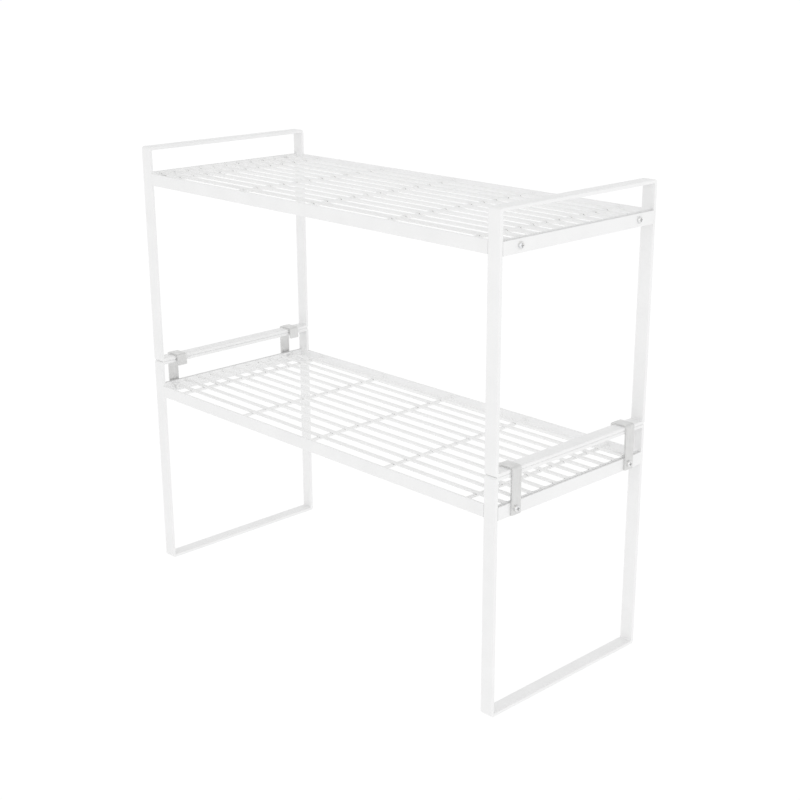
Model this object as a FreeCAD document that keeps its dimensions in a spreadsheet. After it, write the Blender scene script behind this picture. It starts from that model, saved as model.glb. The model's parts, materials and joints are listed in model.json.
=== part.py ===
import FreeCAD, Part
import Sketcher
import math
import os

# Two-tier wire shelf riser, in millimetres.
#
# Two equal tiers stand one on the other.  A tier is two end frames with a shelf
# between them.  An end frame is a closed loop of flat strip, with a flat
# crossbar welded between its legs.  A shelf is four flat rails on edge round a
# grid of straight welded wires, and four machine screws hold it to the crossbars.
# Four hooked clips, held by the lower tier's screws, reach over the two bars
# that meet between the tiers and lock them together.
#
# +X is left to right, +Y is front to back and +Z is up.  The origin is on the
# floor, under the middle of the riser.

SIZES = [
    ("overall_length", 536.0, "across the outer edges of the end loops"),
    ("overall_depth", 220.0, "front to back"),
    ("tier_height", 245.0, "one tier, floor face to top face"),
    ("strip_width", 15.0, "end loop strip, along X"),
    ("strip_thickness", 3.6, "end loop strip"),
    ("strip_edge_round", 0.9, "rolled edges of the end loop strip"),
    ("loop_outer_radius", 3.0, "outside of a loop's corner"),
    ("loop_inner_radius", 1.0, "inside of a loop's corner"),
    ("bar_height", 13.0, "crossbars and shelf rails stand on edge"),
    ("bar_thickness", 2.2, "crossbars and shelf rails, with their coat"),
    ("bar_edge_round", 0.4, "long edges of the crossbars and shelf rails"),
    ("bar_gap", 0.6, "between a crossbar and the rail bolted to it"),
    ("bar_centre_height", 209.7, "middle of the shelf rails and of the screws over the tier's foot"),
    ("crossbar_drop", 0.45, "middle of a crossbar below the middle of the rails"),
    ("wire_diameter", 3.7, "all shelf wires"),
    ("weld_set_down", 1.3, "how far a weld presses two crossing wires together"),
    ("long_wire_pitch", 18.0, "front to back"),
    ("cross_wire_pitch", 112.5, "left to right"),
    ("long_wire_rise", 4.5, "long wire axis over the middle of the rails"),
    ("screw_spacing", 168.0, "between the two screws of one crossbar"),
    ("clearance_hole", 3.9, "diameter in crossbar, rail and clip"),
    ("clip_width", 12.6, "hooked clip"),
    ("clip_thickness", 2.0, "hooked clip"),
    ("clip_bend_radius", 0.9, "inside of a clip's bends"),
    ("clip_leg_length", 41.5, "below the joint of the two tiers"),
    ("clip_lip_length", 7.3, "below the joint of the two tiers"),
    ("clip_lip_play", 0.6, "between the lip's root and the strip"),
    ("clip_lip_flare", 1.2, "how far the lip's free edge leans away from the strip"),
    ("clip_corner_radius", 1.0, "free corners of a clip"),
    ("screw_diameter", 3.46, "M3.5 thread crest, just inside the nut's wall"),
    ("screw_length", 10.0, "under the head"),
    ("thread_pitch", 0.6, "M3.5"),
    ("thread_depth", 0.33, "M3.5"),
    ("thread_cutter_overhang", 0.1, "a thread groove is cut from this far outside the crest"),
    ("head_diameter", 6.6, "pan head"),
    ("head_height", 2.4, "pan head"),
    ("head_round", 1.6, "pan head's rounded rim"),
    ("recess_width", 3.9, "across the wings of the cross recess"),
    ("recess_wing", 0.9, "thickness of a wing"),
    ("recess_depth", 1.4, "cross recess"),
    ("nut_flats", 6.0, "M3.5 nut, across flats"),
    ("nut_height", 2.8, "M3.5 nut"),
    ("nut_bore", 3.5, "M3.5 nut"),
    ("nut_chamfer_reach", 4.0, "chamfer cutter's outer radius, beyond the nut's corners"),
    ("nut_chamfer_rise", 0.577, "chamfer cutter's height there: 30 degrees from the flats"),
]
LONG_WIRES_PER_SIDE = 5
CROSS_WIRES_PER_SIDE = 2
TIERS = {"lower": "0", "upper": "Sizes.tier_height"}
SIDES = {"left": -1, "right": 1}
ENDS = {"front": -1, "back": 1}
STEP_FOLDER = "parts"

# Places worked out from the sheet, as expressions.
LOOP_X = "(Sizes.overall_length - Sizes.strip_width) / 2"
LOOP_INNER_DEPTH = "(Sizes.overall_depth - 2 * Sizes.strip_thickness)"
CROSSBAR_X = "(Sizes.overall_length - Sizes.bar_thickness) / 2"
SHELF_INNER_X = "(Sizes.overall_length / 2 - 2 * Sizes.bar_thickness - Sizes.bar_gap)"
END_RAIL_X = "(Sizes.overall_length - 3 * Sizes.bar_thickness) / 2 - Sizes.bar_gap"
RAIL_Y = "(Sizes.overall_depth - Sizes.bar_thickness) / 2"
RAIL_LENGTH = "(Sizes.overall_length - 2 * Sizes.strip_width)"
CROSS_WIRE_LENGTH = "(Sizes.overall_depth - 2 * Sizes.bar_thickness)"

document = FreeCAD.newDocument("ShelfRiser")
sub_parts = []


def fill_sheet():
    sheet = document.addObject("Spreadsheet::Sheet", "Sizes")
    for row, (alias, value, meaning) in enumerate(SIZES, start=1):
        sheet.set(f"A{row}", alias)
        sheet.set(f"B{row}", str(value))
        sheet.set(f"C{row}", meaning)
        sheet.setAlias(f"B{row}", alias)
    document.recompute()


def place(item, x="0", y="0", z="0", axis=None, angle=0):
    """Bind an object's position to the sheet, after turning it about an axis."""
    if axis is not None:
        item.Placement.Rotation = FreeCAD.Rotation(FreeCAD.Vector(*axis), angle)
    for name, expression in (("x", x), ("y", y), ("z", z)):
        item.setExpression(f"Placement.Base.{name}", expression)


def new_body(label):
    body = document.addObject("PartDesign::Body", label)
    body.Label = label
    return body


def new_sketch(body, role, name):
    """A sketch on one of the body's own origin planes."""
    plane = next(item for item in body.Origin.OriginFeatures if item.Role == role)
    sketch = body.newObject("Sketcher::SketchObject", name)
    sketch.AttachmentSupport = [(plane, "")]
    sketch.MapMode = "FlatFace"
    return sketch


def add_outline(sketch, points):
    """Closed run of straight lines, joined end to end."""
    first = sketch.GeometryCount
    count = len(points)
    for number, start in enumerate(points):
        end = points[(number + 1) % count]
        line = Part.LineSegment(FreeCAD.Vector(*start, 0), FreeCAD.Vector(*end, 0))
        sketch.addGeometry(line)
    for number in range(count):
        following = first + (number + 1) % count
        sketch.addConstraint(Sketcher.Constraint("Coincident", first + number, 2, following, 1))
    return first


def fix_distance(sketch, kind, geometry, vertex, value, expression, name):
    """Dimension from the sketch's origin to a line's start or end point."""
    index = sketch.addConstraint(Sketcher.Constraint(kind, -1, 1, geometry, vertex, value))
    sketch.renameConstraint(index, name)
    sketch.setExpression(f"Constraints.{name}", expression)


def add_rectangle(sketch, width, height):
    """Rectangle centred on the sketch's origin, its sides bound to the sheet."""
    first = add_outline(sketch, [(-1, -1), (1, -1), (1, 1), (-1, 1)])
    for number, direction in enumerate(["Horizontal", "Vertical", "Horizontal", "Vertical"]):
        sketch.addConstraint(Sketcher.Constraint(direction, first + number))
    sketch.addConstraint(Sketcher.Constraint("Symmetric", first, 1, first + 1, 2, -1, 1))
    fix_distance(sketch, "DistanceX", first + 1, 2, 1, f"{width} / 2", "half_width")
    fix_distance(sketch, "DistanceY", first + 1, 2, 1, f"{height} / 2", "half_height")


def add_circle(sketch, diameter, centre, name, expressions=("0", "0")):
    """Circle with its diameter and its centre bound to the sheet."""
    circle = Part.Circle(FreeCAD.Vector(*centre, 0), FreeCAD.Vector(0, 0, 1), 2)
    number = sketch.addGeometry(circle)
    index = sketch.addConstraint(Sketcher.Constraint("Diameter", number, 4))
    sketch.renameConstraint(index, f"{name}_diameter")
    sketch.setExpression(f"Constraints.{name}_diameter", diameter)
    for kind, value, expression in zip(("DistanceX", "DistanceY"), centre, expressions):
        if value == 0:
            on_axis = -2 if kind == "DistanceX" else -1
            sketch.addConstraint(Sketcher.Constraint("PointOnObject", number, 3, on_axis))
        else:
            fix_distance(sketch, kind, number, 3, value, expression, f"{name}_{kind}")


def add_pad(body, sketch, length, side="Symmetric"):
    pad = body.newObject("PartDesign::Pad", "Pad")
    pad.Profile = sketch
    pad.SideType = side
    pad.setExpression("Length", length)
    return pad


def add_through_cut(body, sketch):
    """Cut the sketch right through, and make sure that it removed something."""
    document.recompute()
    volume_before = body.Shape.Volume
    pocket = body.newObject("PartDesign::Pocket", "Cut")
    pocket.Profile = sketch
    pocket.SideType = "Symmetric"
    pocket.Type = "ThroughAll"
    document.recompute()
    if pocket.Shape.Volume > volume_before - 1:
        raise RuntimeError(f"{body.Label}: {sketch.Label} cut nothing")
    return pocket


def round_edges(body, name, radius, wanted):
    """Fillet the edges of the body's last feature that the test picks out."""
    document.recompute()
    base = body.Tip
    edges = base.Shape.Edges
    names = [f"Edge{number}" for number, edge in enumerate(edges, start=1) if wanted(edge)]
    fillet = body.newObject("PartDesign::Fillet", name)
    fillet.Base = (base, names)
    fillet.setExpression("Radius", radius)
    return fillet


def edge_direction(edge):
    """Unit direction of a straight edge, or None for a curved one."""
    if not isinstance(edge.Curve, Part.Line):
        return None
    return edge.tangentAt(edge.FirstParameter)


def runs_along(edge, axis):
    direction = edge_direction(edge)
    return direction is not None and abs(direction.dot(FreeCAD.Vector(*axis))) > 0.999


def make_end_loop(label, side, tier_base):
    """Closed rectangular loop: two legs, a bottom bar and a top bar that is a handle."""
    body = new_body(label)
    outside = new_sketch(body, "YZ_Plane", "Outside")
    add_rectangle(outside, "Sizes.overall_depth", "Sizes.tier_height")
    add_pad(body, outside, "Sizes.strip_width")
    inside = new_sketch(body, "YZ_Plane", "Inside")
    add_rectangle(inside, LOOP_INNER_DEPTH, "(Sizes.tier_height - 2 * Sizes.strip_thickness)")
    add_through_cut(body, inside)

    half_depth = float(document.Sizes.overall_depth) / 2

    def outer_corner(edge):
        return runs_along(edge, (1, 0, 0)) and abs(edge.CenterOfMass.y) > half_depth - 1

    def inner_corner(edge):
        return runs_along(edge, (1, 0, 0)) and abs(edge.CenterOfMass.y) < half_depth - 1

    def rim(edge):
        return not runs_along(edge, (1, 0, 0))

    round_edges(body, "OuterCorners", "Sizes.loop_outer_radius", outer_corner)
    round_edges(body, "InnerCorners", "Sizes.loop_inner_radius", inner_corner)
    round_edges(body, "Rims", "Sizes.strip_edge_round", rim)
    place(body, x=f"{side} * {LOOP_X}", z=f"{tier_base} + Sizes.tier_height / 2")
    return body


def make_cross_piece(label, x, tier_base, drop=("0", 0)):
    """Flat bar on edge from front to back, with a clearance hole near each end.

    The bar's middle hangs below the screws by the drop, an expression with its value.
    """
    body = new_body(label)
    section = new_sketch(body, "YZ_Plane", "Outline")
    add_rectangle(section, LOOP_INNER_DEPTH, "Sizes.bar_height")
    add_pad(body, section, "Sizes.bar_thickness")
    round_edges(body, "LongEdges", "Sizes.bar_edge_round", lambda edge: runs_along(edge, (0, 1, 0)))
    holes = new_sketch(body, "YZ_Plane", "ScrewHoles")
    half_spacing = float(document.Sizes.screw_spacing) / 2
    drop_expression, drop_value = drop
    for end_name, end in ENDS.items():
        centre = (end * half_spacing, drop_value)
        expressions = (f"{end} * Sizes.screw_spacing / 2", drop_expression)
        add_circle(holes, "Sizes.clearance_hole", centre, end_name, expressions)
    add_through_cut(body, holes)
    place(body, x=x, z=f"{tier_base} + Sizes.bar_centre_height - {drop_expression}")
    return body


def make_long_rail(label, end, tier_base):
    """Flat bar on edge along the front or the back of a shelf."""
    body = new_body(label)
    section = new_sketch(body, "XZ_Plane", "Outline")
    add_rectangle(section, RAIL_LENGTH, "Sizes.bar_height")
    add_pad(body, section, "Sizes.bar_thickness")
    round_edges(body, "LongEdges", "Sizes.bar_edge_round", lambda edge: runs_along(edge, (1, 0, 0)))
    place(body, y=f"{end} * {RAIL_Y}", z=f"{tier_base} + Sizes.bar_centre_height")
    return body


def make_rod(label, length, axis, angle, x, y, z):
    """Straight length of wire that starts at a point and runs where its +Z is turned to."""
    rod = document.addObject("Part::Cylinder", label)
    rod.Label = label
    rod.setExpression("Radius", "Sizes.wire_diameter / 2")
    rod.setExpression("Height", length)
    place(rod, x, y, z, axis, angle)
    return rod


def make_long_wire(label, step, tier_base):
    """Wire from end rail to end rail, on top of the cross wires."""
    start_x = f"-{SHELF_INNER_X}"
    y = f"{step} * Sizes.long_wire_pitch"
    z = f"{tier_base} + Sizes.bar_centre_height + Sizes.long_wire_rise"
    return make_rod(label, f"2 * {SHELF_INNER_X}", (0, 1, 0), 90, start_x, y, z)


def make_cross_wire(label, step, tier_base, long_wires):
    """Wire from front rail to back rail, dented where the long wires are welded into it."""
    x = f"{step} * Sizes.cross_wire_pitch"
    start_y = f"-{CROSS_WIRE_LENGTH} / 2"
    rise = "Sizes.long_wire_rise - Sizes.wire_diameter + Sizes.weld_set_down"
    z = f"{tier_base} + Sizes.bar_centre_height + {rise}"
    wire = document.addObject("Part::Cut", label)
    wire.Label = label
    wire.Base = make_rod(f"{label}_rod", CROSS_WIRE_LENGTH, (1, 0, 0), -90, x, start_y, z)
    wire.Tool = long_wires
    return wire


def make_clip(label, side, end):
    """J-shaped sheet metal clip: outside leg, top strap and short leaning inside lip.

    Its own origin is on the outer face of the loops, at the joint of the tiers,
    and its own +X points away from the riser.
    """
    body = new_body(label)
    sheet = document.Sizes
    leg = float(sheet.clip_leg_length)
    lip = float(sheet.clip_lip_length)
    width = float(sheet.strip_width)
    bar = float(sheet.strip_thickness)
    thickness = float(sheet.clip_thickness)
    play = float(sheet.clip_lip_play)
    flare = float(sheet.clip_lip_flare)

    top = ("Sizes.strip_thickness + Sizes.clip_thickness", bar + thickness)
    leg_end = ("-Sizes.clip_leg_length", -leg)
    leg_face = ("Sizes.clip_thickness", thickness)
    lip_end = ("-Sizes.clip_lip_length", -lip)
    lip_root = ("-Sizes.strip_width - Sizes.clip_lip_play", -width - play)
    lip_root_face = (f"{lip_root[0]} - Sizes.clip_thickness", lip_root[1] - thickness)
    lip_tip = (f"{lip_root[0]} - Sizes.clip_lip_flare", lip_root[1] - flare)
    lip_tip_face = (f"{lip_tip[0]} - Sizes.clip_thickness", lip_tip[1] - thickness)
    under_strap = ("Sizes.strip_thickness", bar)
    against_loop = ("0", 0)
    corners = [
        (against_loop, leg_end),
        (leg_face, leg_end),
        (leg_face, top),
        (lip_root_face, top),
        (lip_tip_face, lip_end),
        (lip_tip, lip_end),
        (lip_root, under_strap),
        (against_loop, under_strap),
    ]
    profile = new_sketch(body, "XZ_Plane", "Profile")
    first = add_outline(profile, [(x, z) for (_, x), (_, z) in corners])
    for number, ((x_expression, x), (z_expression, z)) in enumerate(corners, start=first):
        if x == 0:
            profile.addConstraint(Sketcher.Constraint("PointOnObject", number, 1, -2))
        else:
            fix_distance(profile, "DistanceX", number, 1, x, x_expression, f"x_{number}")
        fix_distance(profile, "DistanceY", number, 1, z, z_expression, f"z_{number}")
    add_pad(body, profile, "Sizes.clip_width")

    def bend(edge, x_values, z_value):
        centre = edge.CenterOfMass
        near_x = min(abs(centre.x - x) for x in x_values) < 0.01
        return runs_along(edge, (0, 1, 0)) and near_x and abs(centre.z - z_value) < 0.01

    def outer_bend(edge):
        return bend(edge, (leg_face[1], lip_root_face[1]), top[1])

    def inner_bend(edge):
        return bend(edge, (against_loop[1], lip_root[1]), under_strap[1])

    def free_corner(edge):
        return runs_along(edge, (1, 0, 0)) and edge.CenterOfMass.z < 0

    round_edges(body, "OuterBends", "Sizes.clip_bend_radius + Sizes.clip_thickness", outer_bend)
    round_edges(body, "InnerBends", "Sizes.clip_bend_radius", inner_bend)
    round_edges(body, "FreeCorners", "Sizes.clip_corner_radius", free_corner)

    hole = new_sketch(body, "YZ_Plane", "ScrewHole")
    drop = float(sheet.tier_height) - float(sheet.bar_centre_height)
    drop_expression = "Sizes.bar_centre_height - Sizes.tier_height"
    add_circle(hole, "Sizes.clearance_hole", (0, -drop), "hole", ("0", drop_expression))
    add_through_cut(body, hole)
    place(
        body,
        x=f"{side} * Sizes.overall_length / 2",
        y=f"{end} * Sizes.screw_spacing / 2",
        z="Sizes.tier_height",
        axis=(0, 0, 1),
        angle=0 if side > 0 else 180,
    )
    return body


def make_screw():
    """Pan head machine screw on +Z: the head stands on the XY plane, the thread hangs below."""
    body = new_body("screw")
    sheet = document.Sizes
    head_circle = new_sketch(body, "XY_Plane", "HeadCircle")
    add_circle(head_circle, "Sizes.head_diameter", (0, 0), "head")
    add_pad(body, head_circle, "Sizes.head_height", "One side")
    top = float(sheet.head_height)
    round_edges(body, "HeadRound", "Sizes.head_round", lambda edge: edge.CenterOfMass.z > top - 0.01)

    shank_circle = new_sketch(body, "XY_Plane", "ShankCircle")
    add_circle(shank_circle, "Sizes.screw_diameter", (0, 0), "shank")
    shank = add_pad(body, shank_circle, "Sizes.screw_length", "One side")
    shank.Reversed = True
    document.recompute()

    length = float(sheet.screw_length)
    radius = float(sheet.screw_diameter) / 2
    pitch = float(sheet.thread_pitch)
    root = ("Sizes.screw_diameter / 2 - Sizes.thread_depth", radius - float(sheet.thread_depth))
    mouth = (
        "Sizes.screw_diameter / 2 + Sizes.thread_cutter_overhang",
        radius + float(sheet.thread_cutter_overhang),
    )
    middle = ("-Sizes.screw_length", -length)
    lower = ("-Sizes.screw_length - Sizes.thread_pitch / 2", -length - pitch / 2)
    upper = ("-Sizes.screw_length + Sizes.thread_pitch / 2", -length + pitch / 2)
    corners = [(root, middle), (mouth, lower), (mouth, upper)]
    notch = new_sketch(body, "XZ_Plane", "ThreadNotch")
    first = add_outline(notch, [(x, z) for (_, x), (_, z) in corners])
    for number, ((x_expression, x), (z_expression, z)) in enumerate(corners, start=first):
        fix_distance(notch, "DistanceX", number, 1, x, x_expression, f"x_{number}")
        fix_distance(notch, "DistanceY", number, 1, z, z_expression, f"z_{number}")
    groove = body.newObject("PartDesign::Groove", "Thread")
    groove.Profile = notch
    groove.ReferenceAxis = (notch, ["V_Axis"])
    groove.Angle = 360
    document.recompute()

    turns = body.newObject("PartDesign::LinearPattern", "ThreadTurns")
    turns.Originals = [groove]
    turns.Direction = (notch, ["V_Axis"])
    turns.Mode = "Spacing"
    turns.setExpression("Offset", "Sizes.thread_pitch")
    turns.Occurrences = math.floor(length / pitch) - 1
    body.Tip = turns
    document.recompute()

    half_width = "Sizes.recess_width / 2"
    half_wing = "Sizes.recess_wing / 2"
    cross = new_sketch(body, "XY_Plane", "CrossRecess")
    cross.AttachmentOffset.Base.z = top
    cross.setExpression("AttachmentOffset.Base.z", "Sizes.head_height")
    reach = float(sheet.recess_width) / 2
    wing = float(sheet.recess_wing) / 2
    sizes = {reach: half_width, wing: half_wing}
    quarter = [(reach, -wing), (reach, wing), (wing, wing)]
    corners = []
    for turn in range(4):
        for x, y in quarter:
            corners.append((x, y))
        quarter = [(-y, x) for x, y in quarter]
    first = add_outline(cross, corners)
    for number, (x, y) in enumerate(corners):
        x_expression = f"{int(math.copysign(1, x))} * {sizes[abs(x)]}"
        y_expression = f"{int(math.copysign(1, y))} * {sizes[abs(y)]}"
        fix_distance(cross, "DistanceX", first + number, 1, x, x_expression, f"x_{number}")
        fix_distance(cross, "DistanceY", first + number, 1, y, y_expression, f"y_{number}")
    volume_before = body.Shape.Volume
    recess = body.newObject("PartDesign::Pocket", "Recess")
    recess.Profile = cross
    recess.setExpression("Length", "Sizes.recess_depth")
    document.recompute()
    if recess.Shape.Volume > volume_before - 1:
        raise RuntimeError("the screw's cross recess cut nothing")
    return body


def make_nut():
    """Hexagon nut on +Z, its lower face on the XY plane, both faces chamfered."""
    body = new_body("nut")
    sheet = document.Sizes
    flats = float(sheet.nut_flats)
    height = float(sheet.nut_height)
    corner_radius = flats / 2 / math.cos(math.radians(30))
    corners = []
    for turn in range(6):
        angle = math.radians(60 * turn)
        corners.append((corner_radius * math.cos(angle), corner_radius * math.sin(angle)))
    hexagon = new_sketch(body, "XY_Plane", "Hexagon")
    first = add_outline(hexagon, corners)
    for number in range(6):
        circle_expression = f"Sizes.nut_flats / 2 / cos(30) * cos({60 * number})"
        height_expression = f"Sizes.nut_flats / 2 / cos(30) * sin({60 * number})"
        x, y = corners[number]
        fix_distance(hexagon, "DistanceX", first + number, 1, x, circle_expression, f"x_{number}")
        if number % 3 == 0:
            hexagon.addConstraint(Sketcher.Constraint("PointOnObject", first + number, 1, -1))
        else:
            fix_distance(hexagon, "DistanceY", first + number, 1, y, height_expression, f"y_{number}")
    add_pad(body, hexagon, "Sizes.nut_height", "One side")
    document.recompute()

    flat = ("Sizes.nut_flats / 2", flats / 2)
    beyond = ("Sizes.nut_chamfer_reach", float(sheet.nut_chamfer_reach))
    rise = float(sheet.nut_chamfer_rise)
    lower_face = (("0", 0), ("Sizes.nut_chamfer_rise", rise))
    upper_face = (("Sizes.nut_height", height), ("Sizes.nut_height - Sizes.nut_chamfer_rise", height - rise))
    for name, (face, inward) in (("LowerChamfer", lower_face), ("UpperChamfer", upper_face)):
        wedge = new_sketch(body, "XZ_Plane", f"{name}Wedge")
        corners = [(flat, face), (beyond, face), (beyond, inward)]
        first = add_outline(wedge, [(x, z) for (_, x), (_, z) in corners])
        for number, ((x_expression, x), (z_expression, z)) in enumerate(corners, start=first):
            fix_distance(wedge, "DistanceX", number, 1, x, x_expression, f"x_{number}")
            if z == 0:
                wedge.addConstraint(Sketcher.Constraint("PointOnObject", number, 1, -1))
            else:
                fix_distance(wedge, "DistanceY", number, 1, z, z_expression, f"z_{number}")
        chamfer = body.newObject("PartDesign::Groove", name)
        chamfer.Profile = wedge
        chamfer.ReferenceAxis = (wedge, ["V_Axis"])
        chamfer.Angle = 360
        document.recompute()

    bore = new_sketch(body, "XY_Plane", "Bore")
    add_circle(bore, "Sizes.nut_bore", (0, 0), "bore")
    add_through_cut(body, bore)
    return body


def make_fasteners(label, master, reaches, tier_base):
    """Four copies of a screw or nut, one at each crossbar hole, turned to face outwards."""
    links = []
    for side_name, side in SIDES.items():
        for end_name, end in ENDS.items():
            link = document.addObject("App::Link", f"{label}_{side_name}_{end_name}")
            link.LinkedObject = master
            place(
                link,
                x=f"{side} * ({reaches})",
                y=f"{end} * Sizes.screw_spacing / 2",
                z=f"{tier_base} + Sizes.bar_centre_height",
                axis=(0, 1, 0),
                angle=90 * side,
            )
            links.append(link)
    group = document.addObject("Part::Compound", label)
    group.Label = label
    group.Links = links
    return group


def make_tier(tier, tier_base, screw, nut):
    """Every piece of one tier."""
    drop = ("Sizes.crossbar_drop", float(document.Sizes.crossbar_drop))
    for side_name, side in SIDES.items():
        name = f"{tier}_{side_name}"
        crossbar_x = f"{side} * {CROSSBAR_X}"
        end_rail_x = f"{side} * ({END_RAIL_X})"
        sub_parts.append(make_end_loop(f"{name}_end_loop", side, tier_base))
        sub_parts.append(make_cross_piece(f"{name}_crossbar", crossbar_x, tier_base, drop))
        sub_parts.append(make_cross_piece(f"{name}_end_rail", end_rail_x, tier_base))
    for end_name, end in ENDS.items():
        sub_parts.append(make_long_rail(f"{tier}_{end_name}_rail", end, tier_base))
    long_wires = document.addObject("Part::Compound", f"{tier}_long_wires")
    for step in range(-LONG_WIRES_PER_SIDE, LONG_WIRES_PER_SIDE + 1):
        label = f"{tier}_long_wire_{step + LONG_WIRES_PER_SIDE + 1:02d}"
        long_wires.Links = long_wires.Links + [make_long_wire(label, step, tier_base)]
    sub_parts.extend(long_wires.Links)
    for step in range(-CROSS_WIRES_PER_SIDE, CROSS_WIRES_PER_SIDE + 1):
        label = f"{tier}_cross_wire_{step + CROSS_WIRES_PER_SIDE + 1}"
        sub_parts.append(make_cross_wire(label, step, tier_base, long_wires))
    seat = "Sizes.overall_length / 2"
    if tier == "lower":
        seat = f"{seat} + Sizes.clip_thickness"
    sub_parts.append(make_fasteners(f"{tier}_shelf_screws", screw, seat, tier_base))
    nut_foot = f"{SHELF_INNER_X} - Sizes.nut_height"
    sub_parts.append(make_fasteners(f"{tier}_shelf_nuts", nut, nut_foot, tier_base))


def check_document():
    """Stop if any feature failed or any sub-part has no sound shape."""
    document.recompute()
    for item in document.Objects:
        if "Invalid" in item.State or "Error" in item.State:
            raise RuntimeError(f"{item.Label} failed: {item.State}")
    for item in sub_parts:
        if item.Shape.isNull() or not item.Shape.isValid():
            raise RuntimeError(f"{item.Label} has no valid shape")


def write_steps():
    os.makedirs(STEP_FOLDER, exist_ok=True)
    for item in sub_parts:
        item.Shape.exportStep(os.path.join(STEP_FOLDER, f"{item.Label}.step"))


fill_sheet()
screw = make_screw()
nut = make_nut()
for tier, tier_base in TIERS.items():
    make_tier(tier, tier_base, screw, nut)
for side_name, side in SIDES.items():
    for end_name, end in ENDS.items():
        sub_parts.append(make_clip(f"clip_{side_name}_{end_name}", side, end))
check_document()
write_steps()
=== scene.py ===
import json
import math
import random

import bmesh
import bpy
from mathutils import Euler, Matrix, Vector


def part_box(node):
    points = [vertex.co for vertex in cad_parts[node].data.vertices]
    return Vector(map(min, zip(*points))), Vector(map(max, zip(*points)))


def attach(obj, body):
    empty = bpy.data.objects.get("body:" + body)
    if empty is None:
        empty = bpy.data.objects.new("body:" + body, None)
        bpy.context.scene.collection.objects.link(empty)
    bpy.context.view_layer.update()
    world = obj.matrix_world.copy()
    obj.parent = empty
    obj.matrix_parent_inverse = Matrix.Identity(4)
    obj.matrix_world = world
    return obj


# Looks for the two-tier wire shelf riser: white powder coat on the steel strip and
# wires, satin clips, zinc plated fasteners, and the small welds of the wire grids.
# Metres, in the CAD model's own frame.

BODY = "root"
TIERS = ("lower", "upper")
LONG_WIRES = [f"long_wire_{number:02d}" for number in range(1, 12)]
CROSS_WIRES = [f"cross_wire_{number}" for number in range(1, 6)]
# Crossbars and end rails: their tops and bottoms get painted shade.
PAINTED_SHADE_PIECES = ("_crossbar", "_end_rail")

# Welds.  A spread is a lump's half width in wire radii, and the turn is in degrees.
MM = 0.001
CROSSING_HALF_HEIGHT = 0.7 * MM
CROSSING_SPREAD = (1.04, 1.14)
TACK_REACH = 3.6 * MM
TACK_SINK = 0.4 * MM
TACK_HALF_HEIGHT = 0.8 * MM
TACK_SPREAD = (1.0, 1.1)
WELD_TURN = 7
COLLAR_SPREAD = 0.4 * MM
COLLAR_LENGTH = 0.9 * MM

# Coats.  A grain is the scale of the orange peel, and the mottle multiplies the white.
COAT_WHITE = (0.865, 0.865, 0.865)
WIRE_WHITE = (0.888, 0.888, 0.886)
STEEL_GRAIN = 700.0
WIRE_GRAIN = 1100.0
MOTTLE = (0.978, 1.012)
NOISE_SPAN = (0.3, 0.7)
# How far a face looks up or down, as the size of its normal's z, over which the painted shade on
# bar tops comes in.
UPRIGHT_SPAN = (0.55, 0.85)


# ---------------------------------------------------------------- node helpers

class NodeTree:
    """Adds shader nodes by type and links them by socket name."""

    def __init__(self, tree):
        self.tree = tree
        tree.nodes.clear()

    def add(self, kind, **settings):
        node = self.tree.nodes.new(kind)
        for name, value in settings.items():
            setattr(node, name, value)
        return node

    def link(self, source, output, target, socket):
        self.tree.links.new(source.outputs[output], target.inputs[socket])

    def noise(self, coordinates, output, scale, detail=2.0, roughness=0.5):
        node = self.add("ShaderNodeTexNoise")
        node.inputs["Scale"].default_value = scale
        node.inputs["Detail"].default_value = detail
        node.inputs["Roughness"].default_value = roughness
        self.link(coordinates, output, node, "Vector")
        return node

    def remap(self, source, output, span, result):
        """Map a span of the source's values onto the result's range."""
        node = self.add("ShaderNodeMapRange")
        node.inputs["From Min"].default_value = span[0]
        node.inputs["From Max"].default_value = span[1]
        node.inputs["To Min"].default_value = result[0]
        node.inputs["To Max"].default_value = result[1]
        self.link(source, output, node, "Value")
        return node

    def ramp(self, source, output, stops):
        node = self.add("ShaderNodeValToRGB")
        elements = node.color_ramp.elements
        while len(elements) < len(stops):
            elements.new(0.5)
        for element, (position, colour) in zip(elements, stops):
            element.position = position
            element.color = (*colour, 1.0)
        self.link(source, output, node, "Fac")
        return node

    def bump(self, height, output, distance, strength, previous=None):
        node = self.add("ShaderNodeBump")
        node.inputs["Distance"].default_value = distance
        node.inputs["Strength"].default_value = strength
        self.link(height, output, node, "Height")
        if previous is not None:
            self.link(previous, "Normal", node, "Normal")
        return node


def new_material(name):
    material = bpy.data.materials.new(name)
    material.use_nodes = True
    nodes = NodeTree(material.node_tree)
    shader = nodes.add("ShaderNodeBsdfPrincipled")
    output = nodes.add("ShaderNodeOutputMaterial")
    nodes.link(shader, "BSDF", output, "Surface")
    return material, nodes, shader


# ---------------------------------------------------------------- materials

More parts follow.
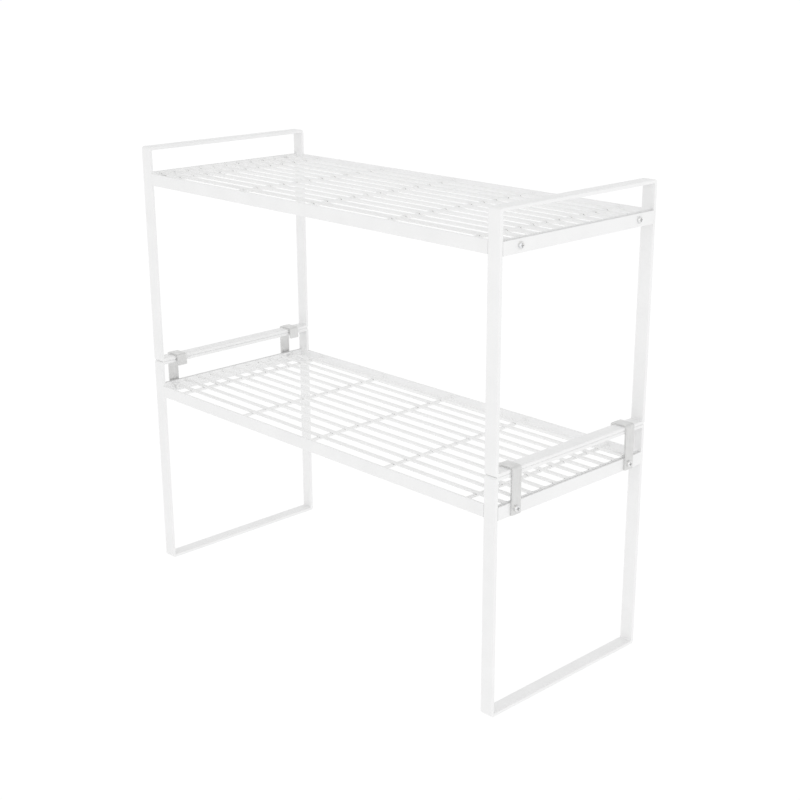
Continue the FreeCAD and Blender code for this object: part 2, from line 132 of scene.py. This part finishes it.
def powder_coat(name, base, grain, edge_shade=None):
    """White powder coat: faint mottling, orange peel and a satin gloss that varies a little.

    The edge shade darkens the faces that look up or down, as painted shade on the bars' tops and
    bottoms.
    """
    material, nodes, shader = new_material(name)
    place = nodes.add("ShaderNodeTexCoord")

    mottle = nodes.noise(place, "Object", scale=35.0, detail=3.0)
    dark = tuple(value * MOTTLE[0] for value in base)
    light = tuple(min(1.0, value * MOTTLE[1]) for value in base)
    colour = nodes.ramp(mottle, "Fac", [(0.3, dark), (0.7, light)])
    # Painted shade on the faces that look up or down.
    if edge_shade is not None:
        colour = paint_upright_shade(nodes, place, colour, edge_shade)
    nodes.link(colour, "Color", shader, "Base Color")

    gloss = nodes.noise(place, "Object", scale=120.0, detail=2.0)
    roughness = nodes.remap(gloss, "Fac", span=NOISE_SPAN, result=(0.36, 0.48))
    nodes.link(roughness, "Result", shader, "Roughness")

    peel = nodes.noise(place, "Object", scale=grain, detail=1.5)
    fine = nodes.noise(place, "Object", scale=grain * 3.2, detail=1.0)
    coarse_bump = nodes.bump(peel, "Fac", distance=0.06 * MM, strength=0.5)
    fine_bump = nodes.bump(fine, "Fac", distance=0.015 * MM, strength=0.35, previous=coarse_bump)
    nodes.link(fine_bump, "Normal", shader, "Normal")

    shader.inputs["Specular IOR Level"].default_value = 0.4
    shader.inputs["Coat Weight"].default_value = 0.1
    shader.inputs["Coat Roughness"].default_value = 0.25
    return material


def paint_upright_shade(nodes, place, colour, edge_shade):
    """The colour, darker by the edge shade on faces that look up or down: painted shade."""
    split = nodes.add("ShaderNodeSeparateXYZ")
    nodes.link(place, "Normal", split, "Vector")
    upright = nodes.add("ShaderNodeMath", operation="ABSOLUTE")
    nodes.link(split, "Z", upright, "Value")
    # Painted shade: full colour on the sides, darkened by the edge shade on tops and bottoms.
    shade = nodes.remap(upright, "Value", span=UPRIGHT_SPAN, result=(1.0, edge_shade))
    shaded = nodes.add("ShaderNodeHueSaturation")
    nodes.link(shade, "Result", shaded, "Value")
    nodes.link(colour, "Color", shaded, "Color")
    return shaded


def weld_and_shade_coat(name, dark, light):
    """Powder coat over a weld, where it is thin, grey and uneven; its greys also carry painted
    shade of the crevices at the weld.
    """
    material, nodes, shader = new_material(name)
    place = nodes.add("ShaderNodeTexCoord")
    patches = nodes.noise(place, "Object", scale=900.0, detail=3.0, roughness=0.6)
    colour = nodes.ramp(patches, "Fac", [(0.35, (dark,) * 3), (0.65, (light,) * 3)])
    nodes.link(colour, "Color", shader, "Base Color")
    roughness = nodes.remap(patches, "Fac", span=NOISE_SPAN, result=(0.4, 0.62))
    nodes.link(roughness, "Result", shader, "Roughness")
    lumps = nodes.noise(place, "Object", scale=2200.0, detail=2.0)
    bump = nodes.bump(lumps, "Fac", distance=0.08 * MM, strength=0.6)
    nodes.link(bump, "Normal", shader, "Normal")
    return material


def satin_steel():
    """Plain sheet steel with rolling grain along the clip and light handling marks."""
    material, nodes, shader = new_material("satin_steel")
    place = nodes.add("ShaderNodeTexCoord")
    stretch = nodes.add("ShaderNodeMapping")
    stretch.inputs["Scale"].default_value = (60.0, 1400.0, 60.0)
    nodes.link(place, "Object", stretch, "Vector")
    grain = nodes.noise(stretch, "Vector", scale=1.0, detail=4.0, roughness=0.65)
    cloud = nodes.noise(place, "Object", scale=160.0, detail=3.0)
    blend = nodes.add("ShaderNodeMix", data_type="FLOAT")
    blend.inputs["Factor"].default_value = 0.35
    nodes.link(grain, "Fac", blend, "A")
    nodes.link(cloud, "Fac", blend, "B")
    stops = [(0.3, (0.645, 0.645, 0.64)), (0.7, (0.8, 0.8, 0.795))]
    colour = nodes.ramp(blend, "Result", stops)
    nodes.link(colour, "Color", shader, "Base Color")
    roughness = nodes.remap(blend, "Result", span=NOISE_SPAN, result=(0.32, 0.5))
    nodes.link(roughness, "Result", shader, "Roughness")
    bump = nodes.bump(grain, "Fac", distance=0.02 * MM, strength=0.4)
    nodes.link(bump, "Normal", shader, "Normal")
    shader.inputs["Metallic"].default_value = 1.0
    shader.inputs["Anisotropic"].default_value = 0.45
    return material


def zinc_plate():
    """Bright zinc on the screws and nuts, with a faint passivated tint and tool marks."""
    material, nodes, shader = new_material("zinc_plate")
    place = nodes.add("ShaderNodeTexCoord")
    tint = nodes.noise(place, "Object", scale=420.0, detail=3.0)
    stops = [(0.3, (0.74, 0.75, 0.77)), (0.5, (0.81, 0.81, 0.81)), (0.7, (0.86, 0.85, 0.83))]
    colour = nodes.ramp(tint, "Fac", stops)
    nodes.link(colour, "Color", shader, "Base Color")
    scuff = nodes.noise(place, "Object", scale=1700.0, detail=3.0, roughness=0.6)
    roughness = nodes.remap(scuff, "Fac", span=NOISE_SPAN, result=(0.26, 0.44))
    nodes.link(roughness, "Result", shader, "Roughness")
    bump = nodes.bump(scuff, "Fac", distance=0.02 * MM, strength=0.35)
    nodes.link(bump, "Normal", shader, "Normal")
    shader.inputs["Metallic"].default_value = 1.0
    return material


# ---------------------------------------------------------------- welds

def mesh_piece(name, build, material):
    """A new object filled by build(bmesh), riding on the riser."""
    shape = bmesh.new()
    build(shape)
    bmesh.ops.recalc_face_normals(shape, faces=shape.faces)
    mesh = bpy.data.meshes.new(name)
    shape.to_mesh(mesh)
    shape.free()
    for face in mesh.polygons:
        face.use_smooth = True
    mesh.materials.append(material)
    piece = bpy.data.objects.new(name, mesh)
    bpy.context.scene.collection.objects.link(piece)
    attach(piece, BODY)
    return piece


def join_rings(shape, rings):
    """Skin a run of equal rings of points and close both ends."""
    made = []
    for ring in rings:
        made.append([shape.verts.new(point) for point in ring])
    count = len(made[0])
    for lower, upper in zip(made, made[1:]):
        for number in range(count):
            following = (number + 1) % count
            shape.faces.new((lower[number], lower[following], upper[following], upper[number]))
    shape.faces.new(list(reversed(made[0])))
    shape.faces.new(made[-1])


def add_crossing_weld(shape, centre, half_width, half_height, turn):
    """Squarish lump of weld metal, as it is pressed out of the corners where two wires cross."""
    segments, levels, squareness = 24, 7, 4.0
    rings = []
    for level in range(levels):
        slope = math.pi * ((level + 0.5) / levels - 0.5)
        swell = math.cos(slope) ** 0.6
        ring = []
        for number in range(segments):
            angle = 2 * math.pi * number / segments
            side, front = math.cos(angle), math.sin(angle)
            reach = (abs(side) ** squareness + abs(front) ** squareness) ** (-1 / squareness)
            flat = Vector((side, front, 0)) * (half_width * reach * swell)
            flat.rotate(turn)
            ring.append(centre + flat + Vector((0, 0, half_height * math.sin(slope))))
        rings.append(ring)
    join_rings(shape, rings)


def add_collar(shape, foot, direction, wire_radius):
    """Hollow-curved collar of weld where a wire's end meets a rail."""
    segments, levels, sink = 20, 6, 0.05 * MM
    turn = Vector((0, 0, 1)).rotation_difference(direction).to_matrix()
    rings = []
    for level in range(levels + 1):
        share = level / levels
        radius = wire_radius - sink + (COLLAR_SPREAD + sink) * (1 - math.sin(share * math.pi / 2))
        height = -sink + (COLLAR_LENGTH + sink) * (1 - math.cos(share * math.pi / 2))
        ring = []
        for number in range(segments):
            angle = 2 * math.pi * number / segments
            point = Vector((radius * math.cos(angle), radius * math.sin(angle), height))
            ring.append(foot + turn @ point)
        rings.append(ring)
    join_rings(shape, rings)


def middle(node):
    low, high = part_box(node)
    return (low + high) / 2


def weld_grid(tier, crossing_weld_shade_finish, tack_weld_shade_finishes, end_finish):
    """Crossing welds, the long wires' tack welds and the wires' end welds of one shelf."""
    long_nodes = [f"{tier}_{name}" for name in LONG_WIRES]
    cross_nodes = [f"{tier}_{name}" for name in CROSS_WIRES]
    low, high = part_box(long_nodes[0])
    wire_radius = (high.z - low.z) / 2
    chance = random.Random(tier)

    def add_lump(shape, centre, spread, half_height):
        half_width = wire_radius * chance.uniform(*spread)
        turn = Euler((0, 0, math.radians(chance.uniform(-WELD_TURN, WELD_TURN))))
        add_crossing_weld(shape, centre, half_width, half_height, turn)

    def crossings(shape):
        for cross in cross_nodes:
            for long in long_nodes:
                height = (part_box(cross)[0].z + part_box(long)[1].z) / 2
                centre = Vector((middle(cross).x, middle(long).y, height))
                add_lump(shape, centre, CROSSING_SPREAD, CROSSING_HALF_HEIGHT)

    def add_tack(shape, node, x):
        centre = middle(node)
        spot = Vector((x, centre.y, centre.z - TACK_SINK))
        add_lump(shape, spot, TACK_SPREAD, TACK_HALF_HEIGHT)

    def left_tacks(shape):
        for node in long_nodes:
            add_tack(shape, node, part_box(node)[0].x + TACK_REACH)

    def right_tacks(shape):
        for node in long_nodes:
            add_tack(shape, node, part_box(node)[1].x - TACK_REACH)

    def ends(shape):
        for node in long_nodes:
            low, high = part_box(node)
            centre = middle(node)
            for x, direction in ((low.x, 1), (high.x, -1)):
                foot = Vector((x, centre.y, centre.z))
                add_collar(shape, foot, Vector((direction, 0, 0)), wire_radius)
        for node in cross_nodes:
            low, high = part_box(node)
            for y, direction in ((low.y, 1), (high.y, -1)):
                foot = Vector((middle(node).x, y, low.z + wire_radius))
                add_collar(shape, foot, Vector((0, direction, 0)), wire_radius)

    # The crossing and tack welds take the grey weld coat with painted shade.
    mesh_piece(f"{tier}_crossing_welds", crossings, crossing_weld_shade_finish)
    mesh_piece(f"{tier}_left_tack_welds", left_tacks, tack_weld_shade_finishes["left"])
    mesh_piece(f"{tier}_right_tack_welds", right_tacks, tack_weld_shade_finishes["right"])
    mesh_piece(f"{tier}_wire_end_welds", ends, end_finish)


# ---------------------------------------------------------------- stage

def make_floor():
    """Plain pale floor, wide enough to fill the view, and lit enough to stay white."""
    half_side = 30.0
    mesh = bpy.data.meshes.new("floor")
    corners = [(x * half_side, y * half_side, 0) for x, y in ((-1, -1), (1, -1), (1, 1), (-1, 1))]
    mesh.from_pydata(corners, [], [(0, 1, 2, 3)])
    material, nodes, shader = new_material("pale_floor")
    shader.inputs["Base Color"].default_value = (0.12, 0.12, 0.12, 1.0)
    shader.inputs["Roughness"].default_value = 0.9
    shader.inputs["Specular IOR Level"].default_value = 0.0
    shader.inputs["Emission Color"].default_value = (1.0, 1.0, 1.0, 1.0)
    shader.inputs["Emission Strength"].default_value = 0.91
    mesh.materials.append(material)
    floor = bpy.data.objects.new("floor", mesh)
    bpy.context.scene.collection.objects.link(floor)


def make_world():
    """White studio all round, a little dimmer overhead than at the sides."""
    world = bpy.data.worlds.new("studio")
    bpy.context.scene.world = world
    world.use_nodes = True
    nodes = NodeTree(world.node_tree)
    place = nodes.add("ShaderNodeTexCoord")
    split = nodes.add("ShaderNodeSeparateXYZ")
    nodes.link(place, "Generated", split, "Vector")
    stops = [(0.0, (1.0, 1.0, 1.0)), (0.5, (0.94, 0.94, 0.94)), (1.0, (0.76, 0.76, 0.76))]
    dome = nodes.ramp(split, "Z", stops)
    background = nodes.add("ShaderNodeBackground")
    background.inputs["Strength"].default_value = 1.03
    nodes.link(dome, "Color", background, "Color")
    output = nodes.add("ShaderNodeOutputWorld")
    nodes.link(background, "Background", output, "Surface")


def make_softbox(name, place, target, size, power):
    """Square area light that faces the target."""
    light = bpy.data.lights.new(name, "AREA")
    light.shape = "SQUARE"
    light.size = size
    light.energy = power
    lamp = bpy.data.objects.new(name, light)
    bpy.context.scene.collection.objects.link(lamp)
    direction = Vector(target) - Vector(place)
    lamp.location = place
    lamp.rotation_euler = direction.to_track_quat("-Z", "Y").to_euler()


def make_camera():
    """Three-quarter view from the front right, a little above the upper shelf."""
    azimuth, elevation = math.radians(45.592), math.radians(18.483)
    place = Vector((1.0719, -0.9955, 0.7047))
    away = Vector((
        math.sin(azimuth) * math.cos(elevation),
        -math.cos(azimuth) * math.cos(elevation),
        math.sin(elevation),
    ))
    camera = bpy.data.cameras.new("camera")
    camera.sensor_width = 36.0
    camera.lens = 63.88
    camera.shift_x = -0.0229
    camera.shift_y = 0.0188
    camera.clip_end = 100.0
    viewer = bpy.data.objects.new("camera", camera)
    bpy.context.scene.collection.objects.link(viewer)
    viewer.location = place
    viewer.rotation_euler = (-away).to_track_quat("-Z", "Y").to_euler()
    bpy.context.scene.camera = viewer


def paint_cad(frame, finishes, painted_shade_finishes):
    """Give each CAD node the finish of its slot in the record, or, on the crossbars and end
    rails, its side's coat with painted shade on the faces that look up or down.
    """
    for row in frame["record"]["subparts"]:
        node = row["node"]
        finish = finishes[row["material_slot"]]
        # Crossbars and end rails take their side's coat with painted shade on tops and bottoms.
        if node.endswith(PAINTED_SHADE_PIECES):
            finish = painted_shade_finishes["left" if "_left_" in node else "right"]
        mesh = frame["nodes"][node].data
        mesh.materials.clear()
        mesh.materials.append(finish)


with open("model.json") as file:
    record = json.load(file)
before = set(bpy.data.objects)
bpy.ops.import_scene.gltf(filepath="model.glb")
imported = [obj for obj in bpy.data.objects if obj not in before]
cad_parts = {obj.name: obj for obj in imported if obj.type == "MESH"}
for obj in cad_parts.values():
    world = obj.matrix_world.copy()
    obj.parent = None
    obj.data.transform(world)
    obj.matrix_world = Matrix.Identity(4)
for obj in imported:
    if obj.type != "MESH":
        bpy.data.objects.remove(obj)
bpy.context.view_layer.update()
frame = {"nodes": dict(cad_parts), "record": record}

finishes = {
    "coated_steel": powder_coat("coated_steel", COAT_WHITE, STEEL_GRAIN),
    "coated_wire": powder_coat("coated_wire", WIRE_WHITE, WIRE_GRAIN),
    "clip_steel": satin_steel(),
    "zinc_fastener": zinc_plate(),
}
# Painted shade on the tops and bottoms of the crossbars and end rails, deeper on the left than on
# the right.
painted_shade_finishes = {
    "left": powder_coat("left_painted_shade_steel", COAT_WHITE, STEEL_GRAIN, edge_shade=0.79),
    "right": powder_coat("right_painted_shade_steel", COAT_WHITE, STEEL_GRAIN, edge_shade=0.88),
}
paint_cad(frame, finishes, painted_shade_finishes)
# Crossing welds: a thin grey coat over the weld, darkened as painted shade of the crevice where
# the wires cross.
crossing_weld_shade_finish = weld_and_shade_coat("crossing_weld_and_shade_coat", dark=0.2, light=0.38)
# Tack welds: a thin grey coat over the weld with painted shade; the right ones are darker, as
# painted shade.
tack_weld_shade_finishes = {
    "left": weld_and_shade_coat("left_tack_weld_and_shade_coat", dark=0.5, light=0.68),
    "right": weld_and_shade_coat("right_tack_weld_and_shade_coat", dark=0.22, light=0.42),
}
for tier in TIERS:
    weld_grid(tier, crossing_weld_shade_finish, tack_weld_shade_finishes, finishes["coated_wire"])

make_floor()
make_world()
softbox_target = middle("upper_right_end_loop")
make_softbox("right_softbox", (1.7, -0.9, 0.8), softbox_target, size=1.2, power=2.5)
make_camera()
bpy.context.scene.view_settings.view_transform = "Standard"
